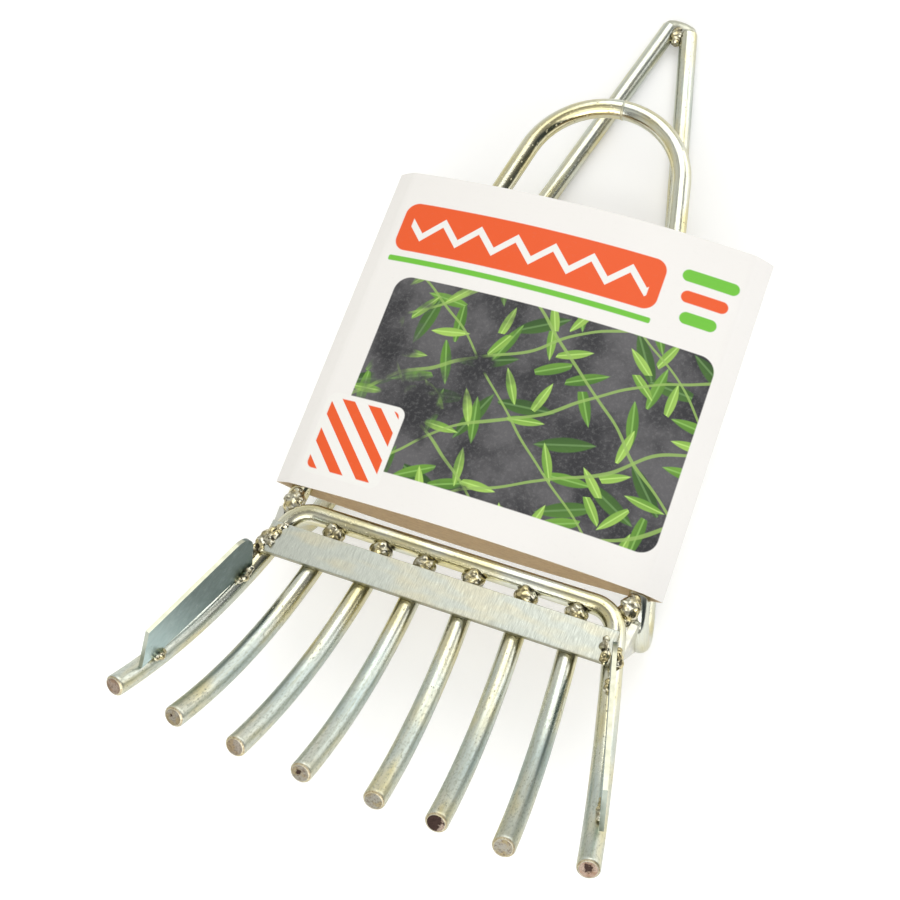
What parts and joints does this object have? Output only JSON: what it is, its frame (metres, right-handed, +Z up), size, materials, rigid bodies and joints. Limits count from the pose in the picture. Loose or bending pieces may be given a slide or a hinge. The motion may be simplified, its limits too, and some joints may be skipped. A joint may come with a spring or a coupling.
{
  "type": "hand rake",
  "caption": "Small hand rake of bent and welded plated rod with curled tines, a flat strap, low side plates, a wire hoop handle and a folded card sleeve.",
  "frame": {"origin": "middle of the footprint, on the floor under the rear hoop", "axes": "+Z up, +Y from the tines toward the pointed rear end of the handle frame, +X to the right seen from above with the tines nearest"},
  "size_m": [0.1384, 0.2854, 0.0674],
  "materials": {
    "plated_rod": "bright zinc plate with a faint yellow cast",
    "plated_sheet": "satin zinc plate with fine cross grain",
    "weld_metal": "rough plated weld bead",
    "card": "white clay-coated front, brown kraft back"
  },
  "bodies": {
    "rake": {"comb_rod": "plated_rod", "inner_tine_2": "plated_rod", "inner_tine_3": "plated_rod", "inner_tine_4": "plated_rod", "inner_tine_5": "plated_rod", "inner_tine_6": "plated_rod", "inner_tine_7": "plated_rod", "cross_strap": "plated_sheet", "side_plate_left": "plated_sheet", "side_plate_right": "plated_sheet", "frame_wire_left": "plated_rod", "frame_wire_right": "plated_rod", "gusset_left": "plated_sheet", "gusset_right": "plated_sheet", "tine_root_welds": "weld_metal", "strap_end_weld_left": "weld_metal", "strap_end_weld_right": "weld_metal", "corner_weld_left": "weld_metal", "corner_weld_right": "weld_metal", "plate_tack_welds": "weld_metal", "apex_weld": "weld_metal", "apex_end_weld": "weld_metal", "arch_butt_weld": "weld_metal"},
    "sleeve": {"card_sleeve": "card"}
  },
  "joints": [
    {"name": "sleeve_slide", "type": "slide", "parent": "rake", "child": "sleeve", "axis": [0, 0.9984, 0.0558], "range_m": [0, 0.155]}
  ]
}
